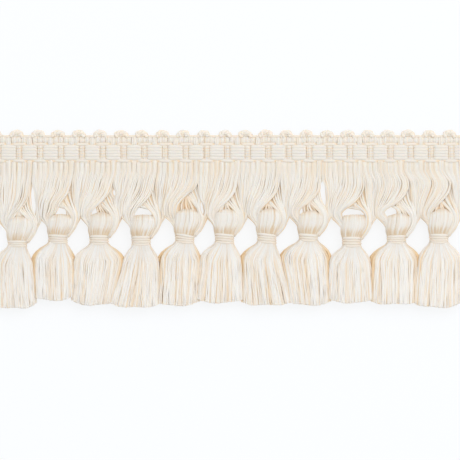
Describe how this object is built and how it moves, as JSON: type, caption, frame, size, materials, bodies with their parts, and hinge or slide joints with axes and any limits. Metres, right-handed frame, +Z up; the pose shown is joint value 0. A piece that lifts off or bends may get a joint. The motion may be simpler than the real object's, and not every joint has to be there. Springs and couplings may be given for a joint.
{
  "type": "tassel fringe",
  "caption": "Upholstery trim: a woven header with a looped edge, a net of crossed floss strands, and a row of tied tassels, lying flat.",
  "frame": {"origin": "middle of the outline, on the surface that the trim lies on", "axes": "+X along the header, +Y from the tassels to the looped edge, +Z up, out of the face"},
  "size_m": [0.2006, 0.0762, 0.007],
  "materials": {
    "woven_header": "matt woven yarn",
    "net_strands": "soft floss with a low sheen",
    "tassel_floss": "soft floss with a low sheen",
    "neck_wrap": "tightly wound yarn"
  },
  "bodies": {
    "root": {"header": "woven_header", "net": "net_strands", "tassel_01": "tassel_floss", "tassel_02": "tassel_floss", "tassel_03": "tassel_floss", "tassel_04": "tassel_floss", "tassel_05": "tassel_floss", "tassel_06": "tassel_floss", "tassel_07": "tassel_floss", "tassel_08": "tassel_floss", "tassel_09": "tassel_floss", "tassel_10": "tassel_floss", "tassel_11": "tassel_floss", "wrap_01": "neck_wrap", "wrap_02": "neck_wrap", "wrap_03": "neck_wrap", "wrap_04": "neck_wrap", "wrap_05": "neck_wrap", "wrap_06": "neck_wrap", "wrap_07": "neck_wrap", "wrap_08": "neck_wrap", "wrap_09": "neck_wrap", "wrap_10": "neck_wrap", "wrap_11": "neck_wrap"}
  },
  "joints": []
}
